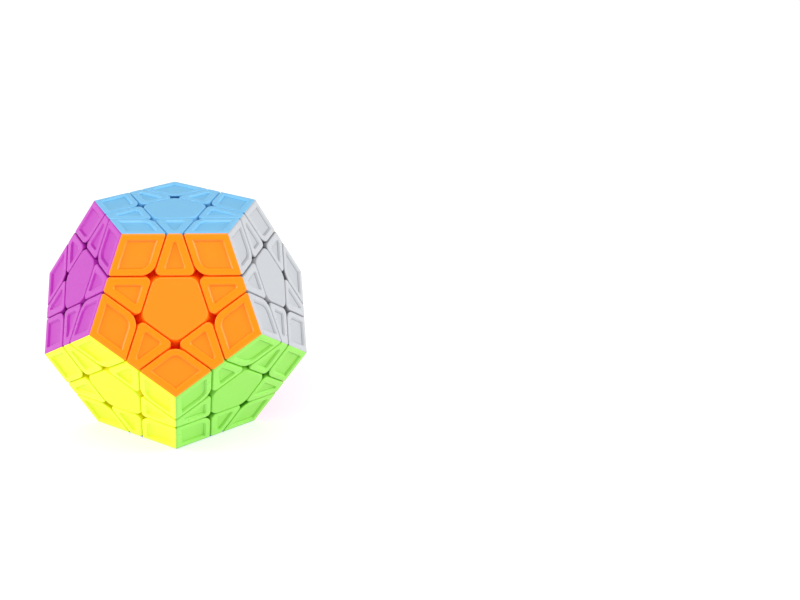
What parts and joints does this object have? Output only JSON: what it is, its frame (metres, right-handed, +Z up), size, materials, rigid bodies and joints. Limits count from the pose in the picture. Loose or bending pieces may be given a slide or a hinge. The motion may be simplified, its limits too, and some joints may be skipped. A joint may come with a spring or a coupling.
{
  "type": "dodecahedron twisty puzzle",
  "caption": "Twelve-faced twisty puzzle of coloured centres, edges and corners round an armed core; faces turn on screwed centres.",
  "frame": {"origin": "centre of the face that the puzzle stands on", "axes": "+Z up through the upper face; -Y is the side of the orange face"},
  "size_m": [0.0798, 0.084, 0.0679],
  "materials": {
    "orange_plastic": "satin",
    "sky_plastic": "satin",
    "purple_plastic": "satin",
    "grey_plastic": "satin",
    "yellow_plastic": "satin",
    "lime_plastic": "satin",
    "red_plastic": "satin",
    "navy_plastic": "satin",
    "cream_plastic": "satin",
    "green_plastic": "satin",
    "pink_plastic": "satin",
    "white_plastic": "satin",
    "core_plastic": "plain moulded plastic",
    "screw_steel": "zinc plated",
    "spring_steel": "drawn wire"
  },
  "bodies": {
    "core_and_resting_pieces": {"core_with_fixed_centres": "core_plastic", "corner_grey_lime_pink": "grey_plastic", "corner_purple_green_white": "purple_plastic", "corner_purple_white_yellow": "purple_plastic", "corner_red_white_green": "red_plastic", "corner_sky_green_purple": "sky_plastic", "edge_green_white": "green_plastic", "edge_grey_lime": "grey_plastic", "edge_grey_pink": "grey_plastic", "edge_lime_pink": "lime_plastic", "edge_purple_green": "purple_plastic", "edge_purple_white": "purple_plastic", "edge_purple_yellow": "purple_plastic", "edge_red_green": "red_plastic", "edge_red_pink": "red_plastic", "edge_red_white": "red_plastic", "edge_sky_green": "sky_plastic", "edge_sky_grey": "sky_plastic", "edge_sky_purple": "sky_plastic", "edge_yellow_lime": "yellow_plastic", "edge_yellow_white": "yellow_plastic", "screw_cream": "screw_steel", "screw_navy": "screw_steel", "screw_orange": "screw_steel"},
    "orange_layer": {"cap_orange": "orange_plastic", "corner_orange_grey_sky": "orange_plastic", "corner_orange_lime_grey": "orange_plastic", "corner_orange_purple_yellow": "orange_plastic", "corner_orange_sky_purple": "orange_plastic", "corner_orange_yellow_lime": "orange_plastic", "edge_orange_grey": "orange_plastic", "edge_orange_lime": "orange_plastic", "edge_orange_purple": "orange_plastic", "edge_orange_sky": "orange_plastic", "edge_orange_yellow": "orange_plastic", "hub_orange": "orange_plastic"},
    "cream_layer": {"cap_cream": "cream_plastic", "corner_grey_pink_cream": "grey_plastic", "corner_red_cream_pink": "red_plastic", "corner_red_green_cream": "red_plastic", "corner_sky_cream_green": "sky_plastic", "corner_sky_grey_cream": "sky_plastic", "edge_cream_green": "cream_plastic", "edge_cream_pink": "cream_plastic", "edge_grey_cream": "grey_plastic", "edge_red_cream": "red_plastic", "edge_sky_cream": "sky_plastic", "hub_cream": "cream_plastic"},
    "navy_layer": {"cap_navy": "navy_plastic", "corner_lime_navy_pink": "lime_plastic", "corner_red_navy_white": "red_plastic", "corner_red_pink_navy": "red_plastic", "corner_yellow_navy_lime": "yellow_plastic", "corner_yellow_white_navy": "yellow_plastic", "edge_lime_navy": "lime_plastic", "edge_navy_pink": "navy_plastic", "edge_navy_white": "navy_plastic", "edge_red_navy": "red_plastic", "edge_yellow_navy": "yellow_plastic", "hub_navy": "navy_plastic"}
  },
  "joints": [
    {"name": "orange_face_turn", "type": "hinge", "parent": "core_and_resting_pieces", "child": "orange_layer", "pos_m": [0, 0, 0.03396], "axis": [0, -0.8944, 0.4472], "continuous": true},
    {"name": "cream_face_turn", "type": "hinge", "parent": "core_and_resting_pieces", "child": "cream_layer", "pos_m": [0, 0, 0.03396], "axis": [0.5257, 0.7236, 0.4472], "continuous": true},
    {"name": "navy_face_turn", "type": "hinge", "parent": "core_and_resting_pieces", "child": "navy_layer", "pos_m": [0, 0, 0.03396], "axis": [0, 0, -1], "continuous": true}
  ]
}
